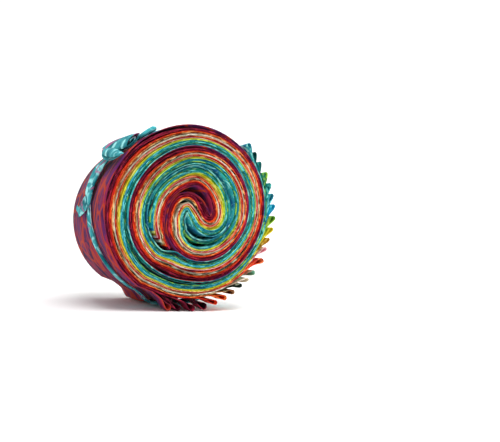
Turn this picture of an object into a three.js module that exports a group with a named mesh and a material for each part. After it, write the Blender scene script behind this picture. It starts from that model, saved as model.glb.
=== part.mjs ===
// A roll of quilting fabric strips, lying on its side and tied round the middle.
// Millimetres, +Z up. The roll's length runs along Y and its spiral faces look along Y.
import * as THREE from 'three';

// Driving dimensions
const rollWidth = 63.5;      // width of every strip, face to face
const axisHeight = 50.5;     // from the table up to the middle of the spiral
const stackThick = 9.7;      // all the strips lying on each other, at the centre
const looseMiddle = 2.4;     // how much looser the stack lies where it leaves the S
const turnGap = 0.45;        // groove between neighbouring windings
const foldWall = 0.85;       // cloth wall round the open end of a fold
const foldRoot = 1.1;        // both halves of a strip, pressed together
const foldSlope = 0.32;      // rise of a fold, in mm per degree round the roll
const foldReach = 10.5;      // degrees from a fold's root to its nose
const foldSink = 1.2;        // how deep the fold roots sit below the outer edge
const foldClear = 0.32;      // air between neighbouring folds
const pocketDepth = 17;      // how far a fold stands open from each face
const pinch = 0.9;           // how deep the tie presses into the roll
const pinchReach = 13;       // half width of the pressed waist
const tieClear = 0.45;       // air between the tie and the roll
const footFlat = 0.85;       // the cloth lies flat on the table where it comes this near
const bandEnd = 1084;        // where the winding under the last folds stops, in degrees

const strips = [
  // name, angle of its nose, height of its open end, colour
  ['burgundy_dark', 260.3, 3.3, 0x5b2440],
  ['burgundy_wine', 266.5, 3.0, 0x5e1531],
  ['burgundy_rose', 275.3, 3.7, 0x8a1c3c],
  ['burgundy_plum', 283.5, 4.0, 0x5a1230],
  ['orange_flame', 290.2, 2.6, 0xdc2c24],
  ['orange_red', 298, 2.9, 0xf0561a],
  ['rust', 304.8, 2.7, 0xb5532e],
  ['grey_green', 311.6, 2.4, 0x6f7f6a],
  ['cream_white', 317.2, 2.4, 0xd8c8a4],
  ['mint', 324, 3.3, 0x84c8aa],
  ['coral', 333.8, 3.1, 0xdc4428],
  ['pink_white', 342, 2.6, 0xd99a98],
  ['ochre', 348.6, 2.4, 0xb8861c],
  ['yellow', 355.8, 2.6, 0xe2d636],
  ['lime', 363.4, 3.2, 0x7db03a],
  ['cyan', 371, 2.8, 0x22a4c4],
  ['sky_blue', 378, 2.6, 0x2c96a8],
  ['turquoise', 385, 3.0, 0x1c9e9c],
  ['sea_green', 392.5, 2.6, 0x288a74],
  ['teal', 400, 2.6, 0x187874],
  ['teal_dark', 407, 2.8, 0x105654],
  ['aqua', 414, 2.8, 0x3caca8],
];

// The short arm and the S in the middle of the roll, from its inner end outwards
const middle = [
  // x, z, thickness
  [-13.6, -16.6, 2.2],
  [-15.6, -13.9, 4.0],
  [-18.0, -9.8, 6.2],
  [-19.2, -5.1, 8.0],
  [-19.1, 0, 8.4],
  [-17.2, 6.2, 8.7],
  [-13.0, 11.8, 8.9],
  [-7.9, 15.9, 9.1],
  [-2.9, 18.7, 9.6],
  [1.9, 19.6, 9.7],
  [7.3, 17.7, 9.8],
  [11.5, 13.8, 9.9],
  [14.8, 8.6, 10.0],
  [16.2, 2.8, 10.0],
  [15.8, -1.4, 10.6],
  [13.6, -4.6, 11.4],
  [9.9, -5.8, 11.8],
  [5.7, -4.2, 11.6],
  [2.1, 0.3, 11.2],
  [-0.3, 2.7, 11.0],
  [-3.1, 3.8, 11.0],
  [-6.0, 3.0, 10.4],
  [-8.3, 0, 9.8],
  [-9.2, -4.7, 9.8],
  [-8.4, -9.4, 10.8],
];

// The outer edge of the windings, counted round in degrees from the right-hand side
const edge = [
  // angle, radius
  [240, 20.4], [270, 24.0], [300, 27.0], [330, 29.6],
  [360, 32.8], [390, 35.0], [420, 35.9], [450, 35.0],
  [480, 32.9], [510, 32.6], [540, 34.0], [570, 35.4],
  [600, 35.0], [630, 35.0], [660, 37.6], [690, 39.5],
  [720, 42.8], [750, 45.6], [780, 46.2], [810, 45.7],
  [840, 44.6], [870, 44.6], [900, 45.6], [930, 46.5],
  [960, 46.6], [990, 45.3], [1020, 45.0], [1050, 45.0],
  [1080, 46.2], [1110, 46.9], [1140, 46.4],
];

// The tie round the roll, from below the knot on round under the roll to its other side
const tie = [
  // angle, y of its middle, width, thickness
  [152.8, -4.4, 17, 3.8],
  [158, -3.6, 16.5, 3.8],
  [166, -2.6, 14, 3.4],
  [174, -3.4, 10.5, 3.0],
  [181, -4.6, 6.5, 2.8],
  [188, -6.0, 4.4, 2.6],
  [200, -9.0, 3.8, 2.6],
  [212, -12.2, 4.2, 2.4],
  [224, -13.2, 5.0, 1.9],
  [238, -11.5, 8.0, 1.1],
  [252, -9.4, 11, 1.1],
  [266, -8.0, 12.5, 1.1],
  [284, -6.6, 13, 1.1],
  [304, -5.2, 13, 1.1],
  [324, -4.4, 13, 1.1],
  [344, -4.0, 13.5, 1.2],
  [364, -4.0, 13, 1.3],
  [384, -4.2, 13, 1.3],
  [404, -4.4, 13, 1.3],
  [424, -4.8, 13.5, 1.3],
  [444, -5.0, 13.5, 1.3],
  [464, -5.4, 14, 1.4],
  [480, -5.6, 15, 1.6],
  [488.6, -5.6, 15, 1.6],
];

// The gathered knot, from its far end to the end that looks at the front
const knot = [
  // y, angle, half width, half height, lift
  [-1.4, 142.0, 1.0, 0.7, 3.4],
  [-3.4, 141.8, 3.2, 1.4, 2.0],
  [-6.4, 141.6, 5.6, 1.9, 0.9],
  [-9.8, 141.2, 7.6, 2.1, 0.4],
  [-13.4, 140.4, 8.4, 2.0, 0.4],
  [-17.0, 139.4, 9.0, 1.9, 0.4],
  [-20.6, 138.0, 9.0, 1.8, 0.4],
  [-24.0, 136.4, 7.8, 1.6, 0.4],
  [-26.4, 134.8, 5.0, 1.3, 0.7],
  [-27.6, 134.0, 2.4, 0.9, 1.3],
];

// The rounded tail that points past the front face
const upperTail = [
  // y, angle, half width, half height, lift
  [-28.2, 132.2, 2.4, 0.8, 1.6],
  [-29.6, 131.0, 3.4, 1.3, 1.4],
  [-31.6, 129.4, 3.3, 1.5, 1.4],
  [-33.4, 127.9, 3.0, 1.5, 1.5],
  [-35.0, 126.8, 2.3, 1.2, 1.8],
  [-35.8, 126.2, 1.2, 0.7, 2.3],
];

// The flat forked tail on the side of the roll
const forkedTail = [
  // y, angle
  [6.4, 163.5], [9.5, 167.5], [15.5, 172.5], [21.0, 177.0], [16.8, 179.5],
  [13.0, 186.0], [6.5, 182.0], [3.4, 178.5], [3.8, 173.0], [5.4, 168.0],
];

const clothRough = 0.92;

const radians = (degrees) => degrees * Math.PI / 180;
const mix = (a, b, t) => a + (b - a) * t;

function smooth(t) {
  const held = Math.min(1, Math.max(0, t));
  return held * held * (3 - 2 * held);
}

// A smooth value between the rows of a table that is sorted by its first column
function between(table, column, at) {
  const last = table.length - 1;
  let row = 0;
  while (row < last - 1 && table[row + 1][0] < at) row += 1;
  const before = table[Math.max(0, row - 1)];
  const after = table[Math.min(last, row + 2)];
  const left = table[row];
  const right = table[row + 1];
  const span = right[0] - left[0];
  const t = Math.min(1, Math.max(0, (at - left[0]) / span));
  const leftSlope = span * (right[column] - before[column]) / (right[0] - before[0]);
  const rightSlope = span * (after[column] - left[column]) / (after[0] - left[0]);
  const rise = right[column] - left[column];
  const bend = (1 - t) * (leftSlope - rise) + t * (rise - rightSlope);
  return left[column] + t * rise + t * (1 - t) * bend;
}

const edgeAt = (angle) => between(edge, 1, angle);

// The surface that the fold roots lie on
function seatAt(angle) {
  const outer = edgeAt(angle) - foldSink * smooth((angle - 955) / 8);
  return angle < 720 ? outer : Math.max(outer, edgeAt(angle - 360) + 0.1);
}

// The outside of the whole roll, over its folds, where the tie goes round it
function outsideAt(angle) {
  const turned = (((angle - 70) % 360) + 360) % 360 + 70;
  const wound = edgeAt(turned > 414 ? turned + 360 : turned + 720);
  const noses = Math.min(turned, 414) + 720;
  const folded = seatAt(noses) + foldClear + foldSlope * foldReach + foldRoot;
  const share = smooth((turned - 244) / 12) * (1 - smooth((turned - 415) / 10));
  return mix(wound, folded, share);
}

const tieMiddle = (angle) => {
  const turned = (((angle - 150) % 360) + 360) % 360 + 150;
  return between(tie, 1, turned);
};

// A point of the roll, drawn in a little where the tie presses
function place(angle, radius, y) {
  const away = Math.abs(y - tieMiddle(angle)) / pinchReach;
  const drawn = pinch * (radius / 46) ** 2 * (1 - smooth(away));
  const r = radius - drawn;
  const x = r * Math.cos(radians(angle));
  const z = axisHeight + r * Math.sin(radians(angle));
  return new THREE.Vector3(x, y, z);
}

function meshFrom(name, points, faces, colour) {
  const positions = new Float32Array(points.length * 3);
  points.forEach((p, i) => p.toArray(positions, i * 3));
  const geometry = new THREE.BufferGeometry();
  geometry.setAttribute('position', new THREE.BufferAttribute(positions, 3));
  geometry.setIndex(faces.flat());
  geometry.computeVertexNormals();
  const material = new THREE.MeshStandardMaterial({ color: colour, roughness: clothRough, metalness: 0 });
  const mesh = new THREE.Mesh(geometry, material);
  mesh.name = name;
  return mesh;
}

// Joins closed rings of points that follow each other; the caps are ready-made triangles of one ring
function skin(rings, caps) {
  const count = rings[0].length;
  const points = rings.flat();
  const faces = [];
  for (let ring = 0; ring < rings.length - 1; ring += 1) {
    for (let i = 0; i < count; i += 1) {
      const next = (i + 1) % count;
      const a = ring * count + i;
      const b = ring * count + next;
      faces.push([a, b + count, b], [a, a + count, b + count]);
    }
  }
  const end = (rings.length - 1) * count;
  for (const [a, b, c] of caps) {
    faces.push([a, b, c], [end + a, end + c, end + b]);
  }
  return { points, faces };
}

function flatCaps(outline) {
  return THREE.ShapeUtils.triangulateShape(outline.map(([x, z]) => new THREE.Vector2(x, z)), []);
}

// How thick the stack lies in its first winding
const firstThick = (angle) => stackThick + looseMiddle * (1 - smooth((angle - 262) / 90));

// How far in the stack reaches where its outer edge has the given radius
function innerEdge(angle, out) {
  const lying = out - turnGap / 2 - firstThick(angle);
  const onLast = angle < 588 ? lying : edgeAt(angle - 360) + turnGap / 2;
  return mix(lying, onLast, smooth((angle - 590) / 24));
}

// The two sides of the wound stack, in x and z from the roll's axis
function woundOutline() {
  const line = middle.map(([x, z]) => new THREE.Vector3(x, 0, z));
  for (let angle = 240; angle <= 330; angle += 30) {
    const r = (edgeAt(angle) - turnGap / 2 + innerEdge(angle, edgeAt(angle))) / 2;
    line.push(new THREE.Vector3(r * Math.cos(radians(angle)), 0, r * Math.sin(radians(angle))));
  }
  const curve = new THREE.CatmullRomCurve3(line, false, 'centripetal');
  const near = 0.008;
  const outer = [];
  const inner = [];
  for (let step = 0; step <= middle.length * 2; step += 1) {
    const at = step / 2;
    const t = at / (line.length - 1);
    const p = curve.getPoint(t);
    const along = curve.getTangent(t);
    const ahead = Math.min(1, t + near);
    const behind = Math.max(0, t - near);
    const turn = curve.getTangent(ahead).cross(curve.getTangent(behind)).y;
    const radius = curve.getPoint(ahead).distanceTo(curve.getPoint(behind)) / Math.max(1e-6, Math.abs(turn));
    const row = Math.min(middle.length - 1, Math.floor(at));
    const nextRow = Math.min(middle.length - 1, row + 1);
    const half = mix(middle[row][2], middle[nextRow][2], at - row) / 2;
    const right = turn < 0 ? Math.min(half, radius * 0.86) : half;
    const left = turn > 0 ? Math.min(half, radius * 0.86) : half;
    outer.push([p.x + along.z * right, p.z - along.x * right]);
    inner.push([p.x - along.z * left, p.z + along.x * left]);
  }
  for (let angle = 250; angle <= bandEnd; angle += 8) {
    const out = angle < 957 ? edgeAt(angle) : seatAt(angle);
    const lean = [Math.cos(radians(angle)), Math.sin(radians(angle))];
    const under = innerEdge(angle, out);
    outer.push([lean[0] * (out - turnGap / 2), lean[1] * (out - turnGap / 2)]);
    inner.push([lean[0] * under, lean[1] * under]);
  }
  return outer.concat(inner.reverse());
}

function woundRoll() {
  const outline = woundOutline();
  const stations = [-rollWidth / 2, -22, -14, -9, -4, 2, 9, rollWidth / 2];
  const rings = stations.map((y) => outline.map(([x, z]) => {
    const angle = Math.atan2(z, x) * 180 / Math.PI;
    return place((angle + 360) % 360, Math.hypot(x, z), y);
  }));
  const { points, faces } = skin(rings, flatCaps(outline));
  return meshFrom('wound_roll', points, faces, 0x8a3a44);
}

// The outline of one fold where it stands open by the given height, as angle and radius
function foldRing(nose, height, inset) {
  const from = nose - foldReach;
  const under = (angle) => seatAt(angle + 720) + foldClear + foldSlope * (angle - from);
  const swell = (angle) => mix(foldRoot, height, smooth((angle - from - 3.5) / (foldReach - 5.3)));
  const arc = (mm) => mm / 47 * 180 / Math.PI;
  const rim = arc(height / 2);
  const stops = inset > 0
    ? [from + 6.6, mix(from + 6.6, nose - rim, 0.35), mix(from + 6.6, nose - rim, 0.7), nose - rim]
    : [from, from + 4.2, from + 6.6, nose - rim];
  const lower = stops.map((angle) => [angle, under(angle) + inset]);
  const upper = stops.map((angle) => [angle, under(angle) + swell(angle) - inset]);
  const tip = [-55, 0, 55].map((turn) => {
    const radius = under(nose - rim) + height / 2 + (height / 2 - inset) * Math.sin(radians(turn));
    return [nose - rim + arc((height / 2 - inset) * Math.cos(radians(turn))), radius];
  });
  return [...upper, ...tip.reverse(), ...lower.reverse()];
}

function fold(row, index) {
  const [name, nose, height, colour] = row;
  const middleY = tieMiddle(nose);
  const half = rollWidth / 2;
  const press = (y) => smooth((Math.abs(y - middleY) - 7.5) / 7);
  const ringAt = (y, inset) => {
    const open = mix(foldRoot, height, press(y));
    return foldRing(nose, open, inset).map(([angle, radius]) => {
      const p = place(angle, radius, y);
      p.z = inset === 0 && p.z < footFlat ? 0 : Math.max(p.z, inset);
      return p;
    });
  };
  const stations = [-half, -half + pocketDepth * 0.55, middleY - 7, middleY + 7, middleY + 14.5, half];
  const rings = stations.map((y) => ringAt(y, 0));
  const count = rings[0].length;
  const { points, faces } = skin(rings, []);
  for (const side of [-1, 1]) {
    const mouth = side * half;
    const end = side < 0 ? -half + pocketDepth * 0.5 : half - pocketDepth;
    const start = points.length;
    points.push(...ringAt(mouth, foldWall), ...ringAt(end, foldWall));
    const outerStart = side < 0 ? 0 : (rings.length - 1) * count;
    for (let i = 0; i < count; i += 1) {
      const next = (i + 1) % count;
      const rim = [[outerStart + i, outerStart + next, start + next],
        [outerStart + i, start + next, start + i]];
      const wall = [[start + i, start + next, start + count + next],
        [start + i, start + count + next, start + count + i]];
      const deep = start + count;
      const floor = i > 0 && i < count - 1 ? [[deep, deep + i, deep + next]] : [];
      for (const [a, b, c] of [...rim, ...wall, ...floor]) {
        faces.push(side < 0 ? [a, b, c] : [a, c, b]);
      }
    }
  }
  const number = String(index + 1).padStart(2, '0');
  return meshFrom(`fold_${number}_${name}`, points, faces, colour);
}

// A strip of cloth round the outside of the roll
function tieBand() {
  const from = tie[0][0];
  const to = tie[tie.length - 1][0];
  const stations = 56;
  const rings = [];
  for (let step = 0; step <= stations; step += 1) {
    const angle = mix(from, to, step / stations);
    const [y, wide, thick] = [1, 2, 3].map((column) => between(tie, column, angle));
    const low = outsideAt(angle) + tieClear;
    const profile = [[-0.5, 0.25], [-0.36, 0], [0, 0.12], [0.36, 0], [0.5, 0.3],
      [0.3, 1], [0.1, 0.86], [-0.12, 1.06], [-0.34, 0.94]];
    rings.push(profile.map(([across, up]) => place(angle, low + up * thick, y + across * wide)));
  }
  const count = rings[0].length;
  const caps = [];
  for (let i = 1; i < count - 1; i += 1) caps.push([0, i + 1, i]);
  const { points, faces } = skin(rings, caps.map(([a, b, c]) => [a, c, b]));
  return meshFrom('tie_band', points, faces, 0x5cc4c8);
}

// Gathered cloth that lies on the roll, lofted along the rows of its table
function gathered(name, rows, pleats, colour) {
  const around = 14;
  const rings = rows.map(([y, angle, halfWide, halfHigh, lift], station) => {
    const ring = [];
    for (let i = 0; i < around; i += 1) {
      const t = 2 * Math.PI * i / around;
      const ridge = 1 + 0.13 * Math.sin(pleats * t + station * 0.9) * (Math.sin(t) > 0.1 ? 1 : 0);
      const across = -halfWide * Math.cos(t);
      const here = angle + across / 47 * 180 / Math.PI;
      const base = outsideAt(here) + tieClear + lift;
      ring.push(place(here, base + halfHigh * (1 + Math.sin(t)) * ridge, y));
    }
    return ring;
  });
  const caps = [];
  for (let i = 1; i < around - 1; i += 1) caps.push([0, i, i + 1]);
  const alongY = rows[rows.length - 1][0] > rows[0][0];
  const { points, faces } = skin(alongY ? rings : rings.reverse(), caps);
  return meshFrom(name, points, faces, colour);
}

function forkedTailSheet() {
  const shape = forkedTail.map(([y, angle]) => new THREE.Vector2(angle, y));
  const flipped = THREE.ShapeUtils.area(shape) < 0;
  const outline = flipped ? [...forkedTail].reverse() : forkedTail;
  const layer = (up) => outline.map(([y, angle]) => place(angle, outsideAt(angle) + up, y));
  const corners = outline.map(([y, angle]) => new THREE.Vector2(angle, y));
  const caps = THREE.ShapeUtils.triangulateShape(corners, []);
  const { points, faces } = skin([layer(0.7), layer(1.8)], caps);
  return meshFrom('tie_tail_forked', points, faces, 0x6cd0d0);
}

const roll = new THREE.Group();
roll.name = 'fabric_strip_roll';
roll.add(woundRoll());
strips.forEach((row, index) => roll.add(fold(row, index)));
roll.add(tieBand());
roll.add(gathered('tie_knot', knot, 3, 0x58bcc2));
roll.add(gathered('tie_tail_upper', upperTail, 2, 0x7ad6da));
roll.add(forkedTailSheet());

// The origin is on the table, under the middle of the whole part
const bounds = new THREE.Box3().setFromObject(roll);
const centre = bounds.getCenter(new THREE.Vector3());
for (const mesh of roll.children) {
  mesh.geometry.translate(-centre.x, -centre.y, -bounds.min.z);
}

export default roll;
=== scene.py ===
import math

import bpy
import numpy as np
from mathutils import Matrix


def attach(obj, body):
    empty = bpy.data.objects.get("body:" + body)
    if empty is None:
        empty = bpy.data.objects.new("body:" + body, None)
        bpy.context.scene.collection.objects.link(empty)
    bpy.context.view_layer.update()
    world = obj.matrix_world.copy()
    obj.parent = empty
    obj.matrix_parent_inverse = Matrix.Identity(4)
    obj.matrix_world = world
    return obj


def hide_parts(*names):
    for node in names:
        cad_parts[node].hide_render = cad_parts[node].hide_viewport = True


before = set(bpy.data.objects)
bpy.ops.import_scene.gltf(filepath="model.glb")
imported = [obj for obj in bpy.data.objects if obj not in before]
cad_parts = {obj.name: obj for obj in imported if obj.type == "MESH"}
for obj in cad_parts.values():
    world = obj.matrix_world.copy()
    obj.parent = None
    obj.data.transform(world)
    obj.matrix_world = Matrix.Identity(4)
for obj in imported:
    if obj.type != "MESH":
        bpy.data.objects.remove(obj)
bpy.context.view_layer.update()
mm = 0.001
twoTurns = 720  # degrees; the folded ends lie two turns further on than their own angles

# Shape of the roll, in millimetres and degrees, in the plane of its spiral faces
roll = {
    "width": 63.5,
    "axisX": -1.65,
    "axisZ": 50.5,
    "middleY": 2.025,
    "radius": 46,  # on average, outside
    "layer": 0.17,  # thickness of the cloth
    "stackThick": 9.7,
    "looseMiddle": 2.4,  # added to the stack's thickness where the windings start
    "pinch": 0.9,  # how far the tie draws the windings in
    "pinchReach": 13.0,
    "foldSlope": 0.32,  # rise of a folded end for each degree
    "foldReach": 10.5,  # degrees from its root to its nose
    "foldSink": 1.2,  # how far in the last winding draws where they leave it
    "foldClear": 0.32,
    "foldRoot": 1.1,
}

# x, z and thickness of the stack along the short arm and the S
middleRows = np.array([
    [-11.4, -19.3, 1.0], [-13.6, -16.6, 2.4], [-15.6, -13.9, 4.0], [-18.0, -9.8, 6.2],
    [-19.2, -5.1, 8.0], [-19.1, 0, 8.4], [-17.2, 6.2, 8.7], [-13.0, 11.8, 8.9], [-7.9, 15.9, 9.1],
    [-2.9, 18.7, 9.6], [1.9, 19.6, 9.7], [7.3, 17.7, 9.8], [11.5, 13.8, 9.9],
    [14.8, 8.6, 10.0], [16.2, 2.8, 10.0], [15.8, -1.4, 10.6], [13.6, -4.6, 11.4],
    [9.9, -5.8, 11.8], [5.7, -4.2, 11.6], [2.1, 0.3, 11.2], [-0.3, 2.7, 11.0],
    [-3.1, 3.8, 11.0], [-6.0, 3.0, 10.4], [-8.3, 0, 9.8], [-9.2, -4.7, 9.8], [-8.4, -9.4, 10.8],
])

# How far the burgundy layers hang loose into the middle: row of the table above, millimetres
looseRows = np.array([
    [6, 0], [8, 0.3], [9.5, 0.8], [10.5, 1.0], [12, 0.5], [14, 0.2], [16, 0], [18, 0.1],
    [19.5, 0.7], [21, 0.9], [22.5, 0.5], [24, 0],
])

# Angle in degrees and radius of the windings' outer edge
edgeRows = np.array([
    [240, 20.4], [270, 24.0], [300, 27.0], [330, 29.6], [360, 32.8], [390, 35.0], [420, 35.9],
    [450, 35.0], [480, 32.9], [510, 32.6], [540, 34.0], [570, 35.4], [600, 35.0], [630, 35.0],
    [660, 37.6], [690, 39.5], [720, 42.8], [750, 45.6], [780, 46.2], [810, 45.7], [840, 44.6],
    [870, 44.6], [900, 45.6], [930, 46.5], [960, 46.6], [990, 45.3], [1020, 45.0], [1050, 45.0],
    [1080, 46.2], [1110, 46.9], [1140, 46.4],
])

# Angle, y of its middle, width and thickness of the tie round the roll
tieRows = np.array([
    [140, -4.6, 13, 1.2], [147, -4.2, 14, 2.2], [152.8, -3.8, 15, 3.0], [158, -3.4, 15, 2.8],
    [166, -3.2, 13, 2.4], [174, -3.8, 10, 2.2], [181, -4.8, 8.0, 2.0], [188, -6.2, 6.4, 2.0],
    [200, -9.2, 4.2, 2.0], [212, -12.2, 3.2, 1.9], [224, -13.2, 3.4, 1.7], [238, -11.5, 5.4, 1.1],
    [252, -9.4, 10, 1.1], [266, -8.0, 12.5, 1.1], [284, -6.6, 13, 1.1], [304, -5.2, 13, 1.1],
    [324, -4.4, 13, 1.1], [344, -4.0, 13.5, 1.2], [364, -4.0, 13, 1.3], [384, -4.2, 13, 1.3],
    [404, -4.4, 13, 1.3], [424, -4.8, 13.5, 1.3], [444, -5.0, 13.5, 1.3], [464, -5.4, 14, 1.4],
    [480, -5.6, 15, 1.5], [490, -5.4, 13, 1.3], [500, -5.2, 9, 0.8],
])

# Each strip, outermost first: angle of its folded end, how far that end stands open,
# and the ground, light and deep colours of its dye
strips = [
    ("burgundy_dark", 260.3, 3.3, "662864", "962446", "3c1842"),
    ("burgundy_wine", 266.5, 3.0, "6a1430", "a82c4c", "240812"),
    ("burgundy_rose", 275.3, 3.7, "94183a", "cc3450", "3c0a1e"),
    ("burgundy_plum", 283.5, 4.0, "5a1230", "b02a44", "200614"),
    ("orange_flame", 290.2, 2.6, "dc2a22", "f4501e", "8c1018"),
    ("orange_red", 298, 2.9, "f4581a", "ffb058", "c02c18"),
    ("rust", 304.8, 2.7, "c4622e", "eccc90", "2a160e"),
    ("grey_green", 311.6, 2.4, "4c5e50", "b4c0a8", "0a100c"),
    ("cream_white", 317.2, 2.4, "f0e2c8", "fff8ea", "7a6048"),
    ("mint", 324, 3.3, "7cd0ae", "c8f0dc", "c06458"),
    ("coral", 333.8, 3.1, "e04024", "f88850", "7a1030"),
    ("pink_white", 342, 2.6, "f6b8bc", "fff0ea", "dc7088"),
    ("ochre", 348.6, 2.4, "c89428", "f0d468", "6a4410"),
    ("yellow", 355.8, 2.6, "f4e434", "fdf68c", "c8b41c"),
    ("lime", 363.4, 3.2, "98c83c", "d4ee5c", "3c7a28"),
    ("cyan", 371, 2.8, "14a6cc", "60dcec", "06507c"),
    ("sky_blue", 378, 2.6, "24a0b0", "74d4d8", "145470"),
    ("turquoise", 385, 3.0, "12a4a0", "7ce4dc", "0a5c60"),
    ("sea_green", 392.5, 2.6, "209070", "9cd048", "0a4034"),
    ("teal", 400, 2.6, "12807c", "38b0a6", "4a1838"),
    ("teal_dark", 407, 2.8, "0c4e4e", "1f8880", "031c20"),
    ("aqua", 414, 2.8, "38b4ae", "90e4d8", "1c5c8c"),
]
lastNose = strips[-1][1]

# How much air lies round each strip, next to the others
stripAir = [2.6, 2.4, 2.2, 2.0, 1.3, 1.2, 0.8, 0.6, 0.4, 0.5, 0.6,
            0.5, 0.5, 0.9, 0.5, 0.8, 0.9, 1.2, 1.3, 1.4, 1.6, 1.4]


def linearColour(code):
    channels = [int(code[i:i + 2], 16) / 255 for i in (0, 2, 4)]
    return [c / 12.92 if c <= 0.04045 else ((c + 0.055) / 1.055) ** 2.4 for c in channels] + [1]


def smooth(t):
    held = np.clip(t, 0, 1)
    return held * held * (3 - 2 * held)


def mix(a, b, t):
    return a + (b - a) * t


def between(table, column, at):
    # a smooth value between the rows of a table
    keys = table[:, 0]
    row = int(np.clip(np.searchsorted(keys, at) - 1, 0, len(keys) - 2))
    before, after = table[max(0, row - 1)], table[min(len(keys) - 1, row + 2)]
    left, right = table[row], table[row + 1]
    span = right[0] - left[0]
    t = min(1, max(0, (at - left[0]) / span))
    leftSlope = span * (right[column] - before[column]) / (right[0] - before[0])
    rightSlope = span * (after[column] - left[column]) / (after[0] - left[0])
    rise = right[column] - left[column]
    bend = (1 - t) * (leftSlope - rise) + t * (rise - rightSlope)
    return left[column] + t * rise + t * (1 - t) * bend


# Angles along the windings: where each change starts, and how many degrees it takes
windings = {
    "from": 247,
    "to": 1130,
    "step": 4.6,
    "foldsFrom": 955,
    "foldsEase": 8,
    "leastRise": 0.1,  # of the last winding over the one under it, in millimetres
    "underFolds": (244, 12),  # the folded ends carry the tie between these two
    "pastFolds": (415, 10),
    "tieFrom": 70,
    "looseFrom": (262, 90),
    "closeFrom": (590, 24),  # from here each winding lies on the one inside it
}


def edgeAt(angle):
    return between(edgeRows, 1, angle)


def easedFrom(angle, key):
    start, length = windings[key]
    return smooth((angle - start) / length)


def seatAt(angle):
    # the surface that the folded ends leave from
    sunk = smooth((angle - windings["foldsFrom"]) / windings["foldsEase"])
    outer = edgeAt(angle) - roll["foldSink"] * sunk
    return outer if angle < twoTurns else max(outer, edgeAt(angle - 360) + windings["leastRise"])


def outsideAt(angle):
    # the outside of the roll where the tie goes round it
    turned = (angle - windings["tieFrom"]) % 360 + windings["tieFrom"]
    wound = edgeAt(turned + 360 if turned > lastNose else turned + twoTurns)
    folded = seatAt(min(turned, lastNose) + twoTurns) + roll["foldClear"] + roll["foldRoot"]
    folded += roll["foldSlope"] * roll["foldReach"]
    carried = easedFrom(turned, "underFolds") * (1 - easedFrom(turned, "pastFolds"))
    return mix(wound, folded, carried)


def tieMiddle(angle):
    start = tieRows[0, 0]
    return between(tieRows, 1, (angle - start) % 360 + start)


def onRoll(angle, radius, y):
    # a point at an angle and a radius round the roll's axis, in metres
    x = radius * math.cos(math.radians(angle)) + roll["axisX"]
    z = radius * math.sin(math.radians(angle)) + roll["axisZ"]
    return [x * mm, (y + roll["middleY"]) * mm, z * mm]


def place(angle, radius, y):
    # the same, drawn in a little where the tie presses
    away = abs(y - tieMiddle(angle)) / roll["pinchReach"]
    drawn = radius - roll["pinch"] * (radius / roll["radius"]) ** 2 * (1 - smooth(away))
    return onRoll(angle, drawn, y)


def curveAt(points, t):
    # centripetal curve through the points, t counted in points
    i = int(min(len(points) - 2, math.floor(t)))
    w = t - i
    p1, p2 = points[i], points[i + 1]
    p0 = points[i - 1] if i > 0 else 2 * p1 - p2
    p3 = points[i + 2] if i + 2 < len(points) else 2 * p2 - p1
    d0, d1, d2 = [np.linalg.norm(b - a) ** 0.5 for a, b in ((p0, p1), (p1, p2), (p2, p3))]
    m1 = ((p1 - p0) / d0 - (p2 - p0) / (d0 + d1) + (p2 - p1) / d1) * d1
    m2 = ((p2 - p1) / d1 - (p3 - p1) / (d1 + d2) + (p3 - p2) / d2) * d1
    return p1 + m1 * w + (3 * (p2 - p1) - 2 * m1 - m2) * w ** 2 + (2 * (p1 - p2) + m1 + m2) * w ** 3


def innerEdge(angle, out):
    thick = roll["stackThick"] + roll["looseMiddle"] * (1 - easedFrom(angle, "looseFrom"))
    lying = out - thick
    start, length = windings["closeFrom"]
    onLast = lying if angle < start - 2 else edgeAt(angle - 360)
    return mix(lying, onLast, smooth((angle - start) / length))


# How the two sides of the stack follow its middle line, counted in rows of that table
sides = {
    "step": 0.25,
    "look": 0.3,  # how far ahead and behind the direction is taken
    "spare": 0.15,  # added to each half of the thickness, in millimetres
    "tightest": 0.88,  # the share of a bend's radius that the stack may fill
    "easeReach": 6,
    "easeWidth": 2.2,
    "thinnest": 0.05,  # millimetres
}


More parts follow.
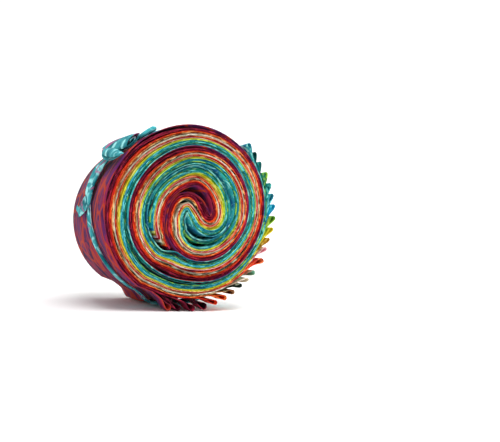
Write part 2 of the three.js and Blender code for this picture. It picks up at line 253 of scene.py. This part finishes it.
def stackSides():
    # both sides of the wound stack from its inner end outwards, and the angle of each station
    line = [row[:2] for row in middleRows]
    for angle in edgeRows[:4, 0]:
        r = (edgeAt(angle) + innerEdge(angle, edgeAt(angle))) / 2
        line.append(np.array([math.cos(math.radians(angle)), math.sin(math.radians(angle))]) * r)
    places = np.arange(0, len(middleRows) + 0.01, sides["step"])
    points, sideways, rights, lefts = [], [], [], []
    for t in places:
        point = curveAt(line, t)
        ahead, behind = curveAt(line, t + sides["look"]), curveAt(line, max(0, t - sides["look"]))
        along = (ahead - behind) / np.linalg.norm(ahead - behind)
        a, b = ahead - point, (point - behind if t > sides["look"] else ahead - point)
        turn = (b[0] * a[1] - b[1] * a[0]) / (np.linalg.norm(a) * np.linalg.norm(b))
        radius = np.linalg.norm(ahead - behind) / 2 / max(1e-6, abs(turn))
        half = np.interp(t, range(len(middleRows)), middleRows[:, 2]) / 2 + sides["spare"]
        held = min(half, radius * sides["tightest"])
        points.append(point)
        sideways.append([along[1], -along[0]])
        rights.append(held if turn < 0 else half)
        lefts.append(held if turn > 0 else half)
    reach = sides["easeReach"]
    ease = np.exp(-0.5 * (np.arange(-reach, reach + 1) / sides["easeWidth"]) ** 2)
    ease /= ease.sum()
    rights = np.convolve(np.pad(rights, reach, "edge"), ease, "valid")
    lefts = np.convolve(np.pad(lefts, reach, "edge"), ease, "valid")
    rights += np.interp(places, looseRows[:, 0], looseRows[:, 1])
    points, sideways = np.array(points), np.array(sideways)
    outer = list(points + sideways * rights[:, None])
    inner = list(points - sideways * lefts[:, None])
    angles = [0] * len(places)
    for angle in np.arange(windings["from"], windings["to"], windings["step"]):
        out = edgeAt(angle) if angle < windings["foldsFrom"] + 2 else seatAt(angle)
        lean = np.array([math.cos(math.radians(angle)), math.sin(math.radians(angle))])
        outer.append(lean * out)
        inner.append(lean * min(innerEdge(angle, out), out - sides["thinnest"]))
        angles.append(angle)
    return np.array(outer), np.array(inner), np.array(angles)


def wander(rng, count, length, reach):
    # rows of smooth noise along the stations, about one in height
    raw = rng.normal(size=(count, length + 6 * reach))
    kernel = np.exp(-0.5 * (np.arange(-3 * reach, 3 * reach + 1) / reach) ** 2)
    kernel /= np.sqrt((kernel ** 2).sum())
    return np.array([np.convolve(row, kernel, "valid")[:length] for row in raw])


# How the layers share the thickness of the stack
packing = {
    "seed": 7,
    "fade": 5,  # degrees over which a strip leaves the stack for its folded end
    "stripRoom": 0.41,  # thickness that one strip asks for, in millimetres
    "allFrom": 9.0,  # all the strips are there once the stack is this thick
    "uneven": 1.7,
    "unevenLength": 9,  # stations
    "airInside": 0.5,  # between the two halves of a strip, next to between strips
    "airBetween": 1.3,
    "fullest": 0.96,  # share of the thickness that cloth may take
}


def layerPlaces(outer, inner, angles):
    # where each of the 44 layers lies between the two sides, with uneven air between them
    rng = np.random.default_rng(packing["seed"])
    count = len(strips) * 2
    thick = np.linalg.norm(outer - inner, axis=1)
    roots = np.repeat([nose - roll["foldReach"] + twoTurns for _, nose, *_ in strips], 2)
    present = 1 - smooth((angles[None, :] - roots[:, None]) / packing["fade"])
    fits = thick / packing["stripRoom"]
    fits[np.argmax(thick > packing["allFrom"]):] = len(strips)
    numbers = np.arange(count)[:, None] // 2
    present *= np.clip(fits[None, :] - numbers, 0, 1)
    weight = np.exp(packing["uneven"] * wander(rng, count, len(outer), packing["unevenLength"]))
    weight *= np.where(np.arange(count) % 2, packing["airInside"], packing["airBetween"])[:, None]
    weight *= np.repeat(stripAir, 2)[:, None] * present
    here = present.sum(axis=0)
    layer = np.minimum(roll["layer"], thick * packing["fullest"] / np.maximum(here, 1))
    slack = np.maximum(thick - layer * here, 0)
    air = weight * (slack / np.maximum(weight.sum(axis=0), 1e-6))[None, :]
    upTo = np.cumsum(air + layer * present, axis=0) - layer * present / 2
    share = upTo / thick
    return outer[None] + (inner - outer)[None] * share[..., None], present


# A folded end: an open loop of cloth that leaves the roll at a slant
loop = {
    "radius": 47,
    "legPoints": 13,
    "nosePoints": 9,
    "noseTurn": 70,  # degrees either way of its tip
    "above": 0.12,
    "closed": 0.26,  # the two halves lie this far apart at the root
    "opensAfter": 2.2,  # degrees past the root
    "opensShort": 4.0,
}


def foldedEnd(nose, height):
    # angle and radius along the outer half, round the nose and back along the inner half
    root = nose - roll["foldReach"]
    rim = math.degrees(height / 2 / loop["radius"])
    legAngles = np.linspace(root, nose - rim, loop["legPoints"])

    def low(angle):
        slope = roll["foldSlope"] * (angle - root)
        return seatAt(angle + twoTurns) + roll["foldClear"] + slope + loop["above"]

    def rise(angle):
        onward = angle - root - loop["opensAfter"]
        opened = smooth(onward / (roll["foldReach"] - loop["opensShort"]))
        return mix(loop["closed"], height - loop["closed"], opened)

    out = [(a, low(a) + rise(a)) for a in legAngles]
    half = (height - loop["closed"]) / 2
    tip = []
    for t in np.radians(np.linspace(loop["noseTurn"], -loop["noseTurn"], loop["nosePoints"])):
        onward = math.degrees(half * math.cos(t) / loop["radius"])
        tip.append((nose - rim + onward, low(nose - rim) + half + half * math.sin(t)))
    back = [(a, low(a)) for a in legAngles[::-1]]
    return out + tip + back


def sheetMesh(name, grid, thickness, cloth):
    # a closed thin mesh round a grid of points, with the cloth's own measure as its UV map
    rows, columns = grid.shape[:2]
    under = rows * columns
    normal = np.cross(np.gradient(grid, axis=0), np.gradient(grid, axis=1))
    normal /= np.maximum(np.linalg.norm(normal, axis=2, keepdims=True), 1e-12)
    points = np.concatenate([(grid + normal * thickness / 2).reshape(-1, 3),
                             (grid - normal * thickness / 2).reshape(-1, 3)])
    index = np.arange(under).reshape(rows, columns)
    a, b, c, d = index[:-1, :-1], index[1:, :-1], index[1:, 1:], index[:-1, 1:]
    top = np.stack([a, b, c, d], axis=-1).reshape(-1, 4)
    bottom = top[:, ::-1] + under
    rim = []
    for edge in (index[:, 0], index[-1, :], index[::-1, -1], index[0, ::-1]):
        start, end = edge[:-1], edge[1:]
        rim.append(np.stack([end, start, start + under, end + under], axis=-1))
    faces = np.concatenate([top, bottom] + rim)
    mesh = bpy.data.meshes.new(name)
    mesh.vertices.add(len(points))
    mesh.vertices.foreach_set("co", points.ravel())
    mesh.loops.add(faces.size)
    mesh.loops.foreach_set("vertex_index", faces.ravel())
    mesh.polygons.add(len(faces))
    mesh.polygons.foreach_set("loop_start", np.arange(0, faces.size, 4))
    mesh.polygons.foreach_set("loop_total", np.full(len(faces), 4))
    mesh.polygons.foreach_set("use_smooth", np.arange(len(faces)) < len(top) * 2)
    measure = np.concatenate([cloth.reshape(-1, 2)] * 2)
    uv = mesh.uv_layers.new(name="cloth")
    uv.data.foreach_set("uv", measure[faces.ravel()].ravel())
    mesh.update(calc_edges=True)
    mesh.validate()
    piece = bpy.data.objects.new(name, mesh)
    bpy.context.scene.collection.objects.link(piece)
    return piece


def addNode(tree, kind, settings=None, links=None):
    # one node with its settings and its links, given as input: (node, output)
    node = tree.nodes.new(kind)
    for key, value in (settings or {}).items():
        if hasattr(node, key):
            setattr(node, key, value)
        else:
            node.inputs[key].default_value = value
    for socket, (source, output) in (links or {}).items():
        tree.links.new(source.outputs[output], node.inputs[socket])
    return node


# What all the batiks share, in metres
batik = {
    "sideShift": 0.37,  # how far each cloth's patch of dye lies to the side, next to along
    "bendSize": 0.011,
    "bend": 0.005,  # how far the veins wander off their cells
    "weave": 0.0028,  # gives a ridge every 0.9 mm, coarser than real thread, so that it shows
    "weaveDepth": 0.00006,
}


def batikCloth(name, ground, light, deep, look):
    # cotton dyed in batik: soft watercolour mottling in the cloth's own measure, plain weave, dull
    material = bpy.data.materials.new(name)
    material.use_nodes = True
    tree = material.node_tree
    tree.nodes.clear()
    measure = addNode(tree, "ShaderNodeUVMap", {"uv_map": "cloth"})
    shifted = addNode(tree, "ShaderNodeMapping",
                      {"Location": (look["shift"], look["shift"] * batik["sideShift"], 0),
                       "Scale": (look.get("stretch", 1), 1, 1)}, {"Vector": (measure, "UV")})
    cloud = addNode(tree, "ShaderNodeTexNoise",
                    {"Scale": 1 / look["cloud"], "Detail": 3.0, "Roughness": 0.55,
                     "Distortion": 0.6}, {"Vector": (shifted, "Vector")})
    spread = addNode(tree, "ShaderNodeMapRange", {"From Min": 0.36, "From Max": 0.64},
                     {"Value": (cloud, "Fac")})
    dyed = addNode(tree, "ShaderNodeMix", {"data_type": "RGBA"}, {"Factor": (spread, "Result")})
    dyed.inputs[6].default_value = linearColour(deep)
    dyed.inputs[7].default_value = linearColour(ground)
    spots = addNode(tree, "ShaderNodeTexNoise",
                    {"Scale": 1 / look["spot"], "Detail": 2.0, "Roughness": 0.5,
                     "Distortion": 1.2}, {"Vector": (shifted, "Vector")})
    lit = addNode(tree, "ShaderNodeMapRange", {"From Min": 0.5, "From Max": 0.62},
                  {"Value": (spots, "Fac")})
    last = addNode(tree, "ShaderNodeMix", {"data_type": "RGBA"}, {"Factor": (lit, "Result"),
                                                                  6: (dyed, 2)})
    last.inputs[7].default_value = linearColour(light)
    if look.get("veins"):
        # the wax cracked here, and the vein colour ran in between the patches
        bent = addNode(tree, "ShaderNodeTexNoise", {"Scale": 1 / batik["bendSize"], "Detail": 2.0},
                       {"Vector": (shifted, "Vector")})
        pushed = addNode(tree, "ShaderNodeVectorMath", {"operation": "MULTIPLY_ADD"},
                         {0: (bent, "Color"), 2: (shifted, "Vector")})
        pushed.inputs[1].default_value = (batik["bend"], batik["bend"], 0)
        cells = addNode(tree, "ShaderNodeTexVoronoi",
                        {"feature": "DISTANCE_TO_EDGE", "Scale": 1 / look["veins"]},
                        {"Vector": (pushed, "Vector")})
        seam = addNode(tree, "ShaderNodeMapRange",
                       {"From Min": look["veinWidth"] * 0.5, "From Max": look["veinWidth"] * 1.6,
                        "To Min": 1.0, "To Max": 0.0}, {"Value": (cells, "Distance")})
        if look.get("veinPatch"):
            # only some places took the vein colour
            patch = addNode(tree, "ShaderNodeTexNoise",
                            {"Scale": 1 / look["veinPatch"], "Detail": 1.0},
                            {"Vector": (shifted, "Vector")})
            tinted = addNode(tree, "ShaderNodeMapRange", {"From Min": 0.5, "From Max": 0.58},
                             {"Value": (patch, "Fac")})
            seam = addNode(tree, "ShaderNodeMath", {"operation": "MULTIPLY"},
                           {0: (seam, 0), 1: (tinted, 0)})
        last = addNode(tree, "ShaderNodeMix", {"data_type": "RGBA"}, {"Factor": (seam, 0),
                                                                      6: (last, 2)})
        last.inputs[7].default_value = linearColour(look["veinColour"])
    warp, weft = [addNode(tree, "ShaderNodeTexWave",
                          {"Scale": 1 / batik["weave"], "bands_direction": direction},
                          {"Vector": (measure, "UV")}) for direction in ("X", "Y")]
    weave = addNode(tree, "ShaderNodeMath", {"operation": "ADD"},
                    {0: (warp, "Fac"), 1: (weft, "Fac")})
    bump = addNode(tree, "ShaderNodeBump", {"Strength": 0.25, "Distance": batik["weaveDepth"]},
                   {"Height": (weave, 0)})
    shader = addNode(tree, "ShaderNodeBsdfPrincipled",
                     {"Roughness": 0.9, "Specular IOR Level": 0.1, "Sheen Weight": 0.04,
                      "Sheen Roughness": 0.5},
                     {"Base Color": (last, 2), "Normal": (bump, "Normal")})
    addNode(tree, "ShaderNodeOutputMaterial", None, {"Surface": (shader, "BSDF")})
    return material


# The strips: each one is folded in half and runs from the middle out to its folded end and back
ribbon = {
    "seed": 21,
    "across": [-24, -17, -11, -6.5, -2, 3, 8, 14],  # y of the points between the two cut edges
    "frontWander": 0.45,  # how far the cut edges wander, in millimetres
    "wanderLength": 7,  # stations
    "tilt": 0.4,  # how far each strip stands out at its cut edges
    "lean": 0.16,  # how far its two halves part there
    "pressed": 0.7,  # height of the folded ends under the tie
    "pressReach": 7.5,
    "pressEase": 7,
    "rootGap": 3.0,  # degrees between the stack and the folded end
    "startsAt": 0.55,  # how much of a layer has to be present where the strip begins
    "cloud": 0.011,  # metres
    "spot": 0.006,
    "shift": 0.31,  # each strip is cut this much further on in the dye
}

# The outermost strip shows its whole side, where its batik has wide clouds and rust veins
outsideLook = {"cloud": 0.014, "stretch": 0.6, "veins": 0.0096, "veinColour": "b83a26",
               "veinWidth": 0.055}


def buildStrips():
    outer, inner, angles = stackSides()
    layers, present = layerPlaces(outer, inner, angles)
    rng = np.random.default_rng(ribbon["seed"])
    half = roll["width"] / 2
    across = np.array([-half, *ribbon["across"], half])
    pieces = []
    for number, (name, nose, height, ground, light, deep) in enumerate(strips):
        root = nose - roll["foldReach"] + twoTurns
        last = int(np.searchsorted(angles, root - ribbon["rootGap"]))
        start = int(np.argmax(present[2 * number + 1] > ribbon["startsAt"]))
        polar = []
        for leg in (layers[2 * number, start:last], layers[2 * number + 1, start:last]):
            turned = np.degrees(np.arctan2(leg[:, 1], leg[:, 0])) % 360
            polar.append(np.stack([turned, np.hypot(leg[:, 0], leg[:, 1])], axis=1))
        openings = {}
        for y in across:
            away = (abs(y - tieMiddle(nose)) - ribbon["pressReach"]) / ribbon["pressEase"]
            openings[y] = foldedEnd(nose, mix(ribbon["pressed"], height, smooth(away)))
        loopCount = len(openings[across[0]])
        rows = len(polar[0]) * 2 + loopCount
        noise = wander(rng, 4, rows, ribbon["wanderLength"]) * ribbon["frontWander"]
        offset = rng.normal(size=2) * ribbon["tilt"]
        halves = np.concatenate([np.zeros(len(polar[0])), np.linspace(0, 1, loopCount),
                                 np.ones(len(polar[1]))])
        lean = rng.normal(size=2) * ribbon["lean"]
        front, back = [noise[i] + offset[i] + mix(lean[i], -lean[i], halves) for i in (0, 1)]
        grid = []
        for j, y in enumerate(across):
            path = [tuple(p) for p in polar[0]] + openings[y] + [tuple(p) for p in polar[1][::-1]]
            shift = front if j == 0 else back if j == len(across) - 1 else np.zeros(rows)
            points = np.array([place(a, r, y + e) for (a, r), e in zip(path, shift)])
            points[:, 2] = np.maximum(points[:, 2], roll["layer"] / 2 * mm)
            grid.append(points)
        grid = np.array(grid).transpose(1, 0, 2)
        runs = np.linalg.norm(np.diff(grid[:, 0], axis=0), axis=1)
        length = np.concatenate([[0], np.cumsum(runs)])
        width = (across + half) * mm
        cloth = np.stack(np.meshgrid(length, width, indexing="ij"), axis=-1)
        piece = sheetMesh(f"strip_{number + 1:02d}_{name}", grid, roll["layer"] * mm, cloth)
        look = {"cloud": ribbon["cloud"], "spot": ribbon["spot"],
                "shift": number * ribbon["shift"]}
        if number == 0:
            look.update(outsideLook)
        piece.data.materials.append(batikCloth(f"batik_cotton_{name}", ground, light, deep, look))
        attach(piece, "root")
        if number == 0:
            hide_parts("wound_roll")
        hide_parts(f"fold_{number + 1:02d}_{name}")
        pieces.append(piece)
        print("strip", number + 1, "is", round(float(length[-1]) / mm), "mm long")
    return pieces


stripPieces = buildStrips()
print("strips made")

# The tie: one strip of turquoise batik, gathered at the knot, rolled up where it is narrow,
# then folded flat
tie = {
    "layer": 0.26,
    "clear": 0.4,  # over the burgundy cloth
    "lift": 0.6,  # the gathered cloth stands this much higher by the knot
    "lowest": 0.3,  # over the floor
    "leastWidth": 0.0102,  # of a piece laid flat, in metres
    "ground": "4cb8c0",
    "light": "a2ecec",
    "deep": "136e7a",
    "look": {"cloud": 0.012, "spot": 0.009, "shift": 3.1, "veins": 0.016, "veinColour": "b8608e",
             "veinWidth": 0.03, "veinPatch": 0.02},
}

# Rows of each gathered piece: angle, radius and y of its middle, half width, half height
upperLobe = np.array([
    [142.0, 51.1, -0.6, 0.5, 0.3], [141.4, 50.3, -2.8, 2.6, 1.1], [140.4, 49.2, -6.8, 4.8, 2.0],
    [139.0, 48.3, -11.4, 5.8, 2.3], [137.8, 47.7, -16.0, 6.2, 2.3], [136.8, 47.3, -20.2, 6.2, 2.2],
    [136.2, 47.0, -24.0, 6.0, 2.0], [135.8, 46.8, -27.2, 5.4, 1.9],
])
lowerFold = np.array([
    [143.6, 50.6, -1.5, 0.5, 0.3], [144.4, 49.9, -4.0, 2.6, 1.1], [145.4, 49.2, -8.5, 3.6, 1.5],
    [146.6, 48.5, -14.5, 4.0, 1.6], [147.8, 47.9, -20.5, 3.8, 1.4], [148.5, 47.4, -25.5, 2.8, 1.1],
    [148.4, 46.9, -29.5, 1.5, 0.8], [148.1, 46.5, -33.2, 0.3, 0.3],
])
roundTail = np.array([
    [130.5, 45.5, -23.0, 1.4, 0.8], [128.6, 45.6, -24.2, 2.2, 1.1], [126.6, 45.8, -25.6, 2.8, 1.3],
    [124.6, 46.0, -27.0, 3.2, 1.4], [122.8, 46.2, -28.4, 3.4, 1.4], [121.4, 46.3, -29.6, 3.0, 1.4],
    [120.4, 46.4, -30.4, 2.0, 1.1], [120.0, 46.4, -30.8, 0.6, 0.4],
])
# The forked tail's two long sides, as angle and y: it ends in a pointed horn and a blunt corner
forkSides = np.array([
    [168.2, 2.8, 180.0, -1.0], [170.5, 4.7, 181.6, 0.0], [172.9, 6.7, 182.8, 2.0],
    [175.4, 9.3, 183.9, 4.6], [177.9, 12.1, 184.9, 7.4], [180.2, 15.9, 186.0, 11.0],
    [177.8, 22.1, 186.6, 13.4],
])


def measured(grid):
    # the cloth's own measure over a grid of points: along its rows and across them
    alongStep = np.linalg.norm(np.diff(grid, axis=0), axis=2).mean(axis=1)
    acrossStep = np.linalg.norm(np.diff(grid, axis=1), axis=2).mean(axis=0)
    u = np.concatenate([[0], np.cumsum(alongStep)])
    v = np.concatenate([[0], np.cumsum(acrossStep)])
    return np.stack(np.meshgrid(u, v, indexing="ij"), axis=-1), float(u[-1])


def clothPiece(name, grid, material, shift=0.0):
    cloth, length = measured(grid)
    piece = sheetMesh(name, grid, tie["layer"] * mm, cloth + shift)
    piece.data.materials.append(material)
    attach(piece, "root")
    return piece


# The band's section by its angle and width, and its outline: stops along the cloth, from 0 to 1,
# then how far across and up each one lies, as shares of the width and thickness
band = {
    "seed": 4,
    "fine": (143, 240, 1.4),  # first angle, last angle and step of its stations
    "coarse": (240, 499, 4.0),
    "points": 41,
    "gatheredTo": (172, 14),  # where the change starts, and how many degrees it takes
    "liftedTo": (166, 22),
    "rolledUnder": 11.5,  # the width under which the flat strip starts to roll up
    "rolledEase": 6.0,
    "rollTurns": 2.3,
    "rollTwist": 75,  # degrees along the roll for each turn
    "rollMiddle": 0.3,
    "creaseLength": 20,
    "creaseReach": 3,
    "creaseGain": 3,
    "creaseDepth": 0.1,
    "ripple": 0.16,  # height of the ripples in the flat strip
    "ripples": 3.4,
    "rippleDrift": 11,
    "rippleFull": 10,  # width from which the ripples have their full height
    "lowest": 0.02,
    "gathered": [[0, 0.12, 0.24, 0.33, 0.41, 0.48, 0.56, 0.64, 0.72, 0.80, 0.88, 1],
                 [0.4, 0.1, -0.28, -0.47, -0.5, -0.36, -0.2, -0.04, 0.14, 0.32, 0.5, 0.3],
                 [0.3, 0.2, 0.28, 0.34, 0.6, 0.86, 0.66, 0.98, 0.74, 1.0, 0.6, 0.36]],
    "flat": [[0, 0.4, 0.43, 0.8, 0.83, 1],
             [-0.5, 0.47, 0.47, -0.46, -0.46, 0.08],
             [0.05, 0.1, 0.48, 0.5, 0.92, 0.95]],
}


def bandProfile(width, thick, angle, crease):
    # the strip's section, as steps across and up: gathered by the knot, rolled up, then folded flat
    steps = np.linspace(0, 1, band["points"])
    start, length = band["gatheredTo"]
    gathered = 1 - smooth((angle - start) / length)
    rolled = smooth((band["rolledUnder"] - width) / band["rolledEase"]) * (1 - gathered)
    stops, sideStops, upStops = band["gathered"]
    tubeAcross = width * np.interp(steps, stops, sideStops)
    tubeUp = thick * np.interp(steps, stops, upStops) * (1 + band["creaseDepth"] * crease)
    stops, sideStops, upStops = band["flat"]
    flatAcross = width * np.interp(steps, stops, sideStops)
    flatUp = thick * np.interp(steps, stops, upStops)
    waves = np.sin(2 * math.pi * band["ripples"] * steps + angle / band["rippleDrift"])
    flatUp += band["ripple"] * waves * min(1, width / band["rippleFull"])
    turn = 2 * math.pi * (band["rollTurns"] * steps + angle / band["rollTwist"])
    reach = mix(1.0, band["rollMiddle"], steps)
    across = mix(flatAcross, width / 2 * reach * np.cos(turn), rolled)
    up = mix(flatUp, thick / 2 + thick / 2 * reach * np.sin(turn), rolled)
    up = np.maximum(mix(up, tubeUp, gathered), band["lowest"])
    return mix(across, tubeAcross, gathered), up


def buildBand(material):
    rng = np.random.default_rng(band["seed"])
    stations = np.concatenate([np.arange(*band["fine"]), np.arange(*band["coarse"])])
    long = band["creaseLength"]
    creases = wander(rng, len(stations) + long, band["points"], band["creaseReach"])
    start, length = band["liftedTo"]
    grid = []
    for i, angle in enumerate(stations):
        middle, width, thick = [between(tieRows, column, angle) for column in (1, 2, 3)]
        crease = creases[i:i + long].mean(axis=0) * band["creaseGain"]
        lift = tie["lift"] * (1 - smooth((angle - start) / length))
        grid.append([place(angle, outsideAt(angle) + tie["clear"] + up + lift, middle + across)
                     for across, up in zip(*bandProfile(width, thick, angle, crease))])
    grid = np.array(grid)
    grid[:, :, 2] = np.maximum(grid[:, :, 2], tie["lowest"] * mm)
    piece = clothPiece("tie_strip", grid, material)
    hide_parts("tie_band")


# How the cloth of the knot's folds and of the round tail is rolled up
lobe = {
    "points": 52,
    "stations": 30,
    "pleats": 2,
    "creaseLength": 4,
    "middle": 0.3,  # how far in the roll's own middle lies
    "closing": 1.2,
    "drift": 0.35,  # how the pleats move round from station to station
    "least": (0.15, 0.1),  # half width and half height at its ends, in millimetres
    "clear": 0.25,  # over the burgundy cloth
}

# Each of them: the solid that it stands for, the turns of its swirl and where they start, the
# height of its pleats, how its section leans and is turned, and how sharp its edges are
knotPieces = {
    "tie_knot_upper": {"solid": "tie_knot", "rows": upperLobe, "shift": 0.05, "seed": 5,
                       "turns": 1.7, "start": -2.2, "pleat": 0.06, "slant": 0.1, "tilt": 0.16,
                       "turned": 0, "crease": 1.5},
    "tie_knot_lower": {"solid": None, "rows": lowerFold, "shift": 0.13, "seed": 8,
                       "turns": 1.3, "start": -2.6, "pleat": 0.08, "slant": -0.15, "tilt": 0,
                       "turned": 0, "crease": 1.5},
    "tie_round_tail": {"solid": "tie_tail_upper", "rows": roundTail, "shift": 0.21, "seed": 3,
                       "turns": 1.7, "start": -1.2, "pleat": 0.05, "slant": 0, "tilt": 0,
                       "turned": 48, "crease": 1},
}


def buildLobe(name, look, material):
    # cloth gathered into a roll that follows the rows, its end left open as a swirl
    rng = np.random.default_rng(look["seed"])
    steps = np.linspace(0, 1, lobe["points"])
    crease = wander(rng, 1, len(steps), lobe["creaseLength"])[0]
    turned = math.radians(look["turned"])
    closing = mix(1.0, lobe["middle"], smooth(steps ** lobe["closing"]))
    turn = 2 * math.pi * look["turns"] * steps + look["start"]
    grid = []
    for at in np.linspace(0, len(look["rows"]) - 1, lobe["stations"]):
        angle, radius, y, wide, high = curveAt(look["rows"], at)
        wide, high = max(wide, lobe["least"][0]), max(high, lobe["least"][1])
        pleats = np.sin(lobe["pleats"] * turn + at * lobe["drift"])
        reach = closing * (1 + look["pleat"] * pleats + look["pleat"] * 0.5 * crease)
        row = []
        for t, k in zip(turn, reach):
            across = -wide * k * math.cos(t)
            here = angle + math.degrees(across * math.cos(turned) / radius)
            fold = math.copysign(abs(math.sin(t)) ** look["crease"], math.sin(t))
            lifted = max(radius + high * k * fold - look["tilt"] * across,
                         outsideAt(here) + lobe["clear"])
            row.append(onRoll(here, lifted, y + (look["slant"] - math.sin(turned)) * across))
        grid.append(row)
    piece = clothPiece(name, np.array(grid), material, look["shift"])
    if look["solid"]:
        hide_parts(look["solid"])


# The forked tail stands off the roll a little and curls along and across
fork = {
    "rows": 25,
    "points": 13,
    "off": 0.45,  # millimetres, as curl and crown
    "curl": 0.5,
    "waves": 4.6,
    "drift": 0.5,
    "crown": 0.25,
    "shift": 0.3,
}


def buildFork(material):
    grid = []
    for at in np.linspace(0, len(forkSides) - 1, fork["rows"]):
        sideOne, yOne, sideTwo, yTwo = [np.interp(at, range(len(forkSides)), column)
                                        for column in forkSides.T]
        row = []
        for share in np.linspace(0, 1, fork["points"]):
            angle, y = mix(sideOne, sideTwo, share), mix(yOne, yTwo, share)
            wave = math.sin(share * fork["waves"] + at * fork["drift"])
            lifted = fork["off"] + fork["curl"] * wave ** 2
            lifted += fork["crown"] * at * share * (1 - share)
            row.append(place(angle, outsideAt(angle) + lifted, y))
        grid.append(row)
    grid = np.array(grid)
    piece = clothPiece("tie_forked_tail", grid, material,
                       fork["shift"])
    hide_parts("tie_tail_forked")


def buildTie():
    dye = tie["ground"], tie["light"], tie["deep"]
    material = batikCloth("batik_cotton_turquoise", *dye, tie["look"])
    buildBand(material)
    for name, look in knotPieces.items():
        buildLobe(name, look, material)
    buildFork(material)
    print("tie made")


buildTie()

# Camera where the photo was taken from, with the same lens angle
cameraPlace = {
    "at": (-111.33, -263.19, 31.67),
    "right": (0.84719, -0.52769, 0.06182),
    "up": (-0.08599, -0.02137, 0.99607),
    "lens": 36.0,
    "sensor": 36,
    "nearest": 0.01,  # metres
}


def setCamera():
    data = bpy.data.cameras.new("photo_camera")
    data.sensor_width = cameraPlace["sensor"]
    data.lens = cameraPlace["lens"]
    data.clip_start = cameraPlace["nearest"]
    camera = bpy.data.objects.new("photo_camera", data)
    right, up = np.array(cameraPlace["right"]), np.array(cameraPlace["up"])
    right = right / np.linalg.norm(right)
    toward = np.cross(right, up)
    toward /= np.linalg.norm(toward)
    up = np.cross(toward, right)
    rows = [(right[i], up[i], toward[i], cameraPlace["at"][i] * mm) for i in range(3)]
    camera.matrix_world = Matrix((*rows, (0, 0, 0, 1)))
    bpy.context.scene.collection.objects.link(camera)
    bpy.context.scene.camera = camera


setCamera()

# Pale seamless paper in a soft room, in metres
studio = {
    "paper": "f6f6f6",
    "dullness": 0.9,
    "world": 0.3,
    "halfWidth": 3.5,
    "front": -2.0,
    "bendFrom": 0.9,
    "bendRadius": 0.7,
    "bendSteps": 14,
    "wallTop": 3.5,
}

# Each lamp: where it stands, where it points, its size and its watts
lamps = {
    "key_left": ((-0.55, -0.6, 0.5), (0, 0, 0.05), 0.5, 1.5),
    "fill_right": ((0.6, -0.5, 0.25), (0, 0, 0.05), 0.5, 1.3),
    "top": ((-0.05, -0.34, 0.8), (0, 0, 0.05), 0.5, 6.0),
    "back_wall": ((1.5, 0.3, 1.5), (1.8, 1.6, 0.4), 2.4, 54.0),
}


def buildPaper():
    # floor and wall are one sheet of paper that curves up behind the roll
    depth = studio["bendFrom"] - studio["front"]
    bpy.ops.object.select_all(action="DESELECT")
    bpy.ops.mesh.primitive_plane_add(size=1, location=(0, studio["front"] + depth / 2, 0))
    paper = bpy.context.object
    paper.name = paper.data.name = "paper_floor"
    paper.scale = (studio["halfWidth"] * 2, depth, 1)
    bpy.ops.object.transform_apply(location=True, rotation=False, scale=True)
    for part in (*paper.data.edges, *paper.data.polygons):
        part.select = False
    for vertex in paper.data.vertices:
        vertex.select = vertex.co.y > 0
    bpy.ops.object.mode_set(mode="EDIT")
    bpy.ops.mesh.select_mode(type="VERT")
    bpy.ops.mesh.spin(steps=studio["bendSteps"], angle=-math.pi / 2, axis=(1, 0, 0),
                      center=(0, studio["bendFrom"], studio["bendRadius"]))
    rise = studio["wallTop"] - studio["bendRadius"]
    bpy.ops.mesh.extrude_region_move(TRANSFORM_OT_translate={"value": (0, 0, rise)})
    bpy.ops.mesh.select_all(action="SELECT")
    bpy.ops.mesh.normals_make_consistent(inside=True)  # the side towards the roll
    bpy.ops.object.mode_set(mode="OBJECT")
    bpy.ops.object.shade_smooth()
    material = bpy.data.materials.new("pale_paper")  # matt paper that takes soft shadows
    material.use_nodes = True
    shader = material.node_tree.nodes["Principled BSDF"]
    shader.inputs["Base Color"].default_value = linearColour(studio["paper"])
    shader.inputs["Roughness"].default_value = studio["dullness"]
    paper.data.materials.append(material)


def softLight(name, spot, aim, size, power):
    data = bpy.data.lights.new(name, "AREA")
    data.size = size
    data.energy = power
    lamp = bpy.data.objects.new(name, data)
    direction = np.array(aim, float) - np.array(spot, float)
    direction /= np.linalg.norm(direction)
    side = np.cross(direction, [0, 0, 1.0])
    side /= np.linalg.norm(side)
    up = np.cross(side, direction)
    rows = [(side[i], up[i], -direction[i], spot[i]) for i in range(3)]
    lamp.matrix_world = Matrix((*rows, (0, 0, 0, 1)))
    bpy.context.scene.collection.objects.link(lamp)


def buildStudio():
    buildPaper()
    world = bpy.data.worlds.new("soft_room")
    bpy.context.scene.world = world
    world.use_nodes = True
    world.node_tree.nodes["Background"].inputs["Color"].default_value = (1, 1, 1, 1)
    world.node_tree.nodes["Background"].inputs["Strength"].default_value = studio["world"]
    for name, (spot, aim, size, power) in lamps.items():
        softLight(name, spot, aim, size, power)


buildStudio()
bpy.context.scene.view_settings.view_transform = "Standard"
print("camera and light set")
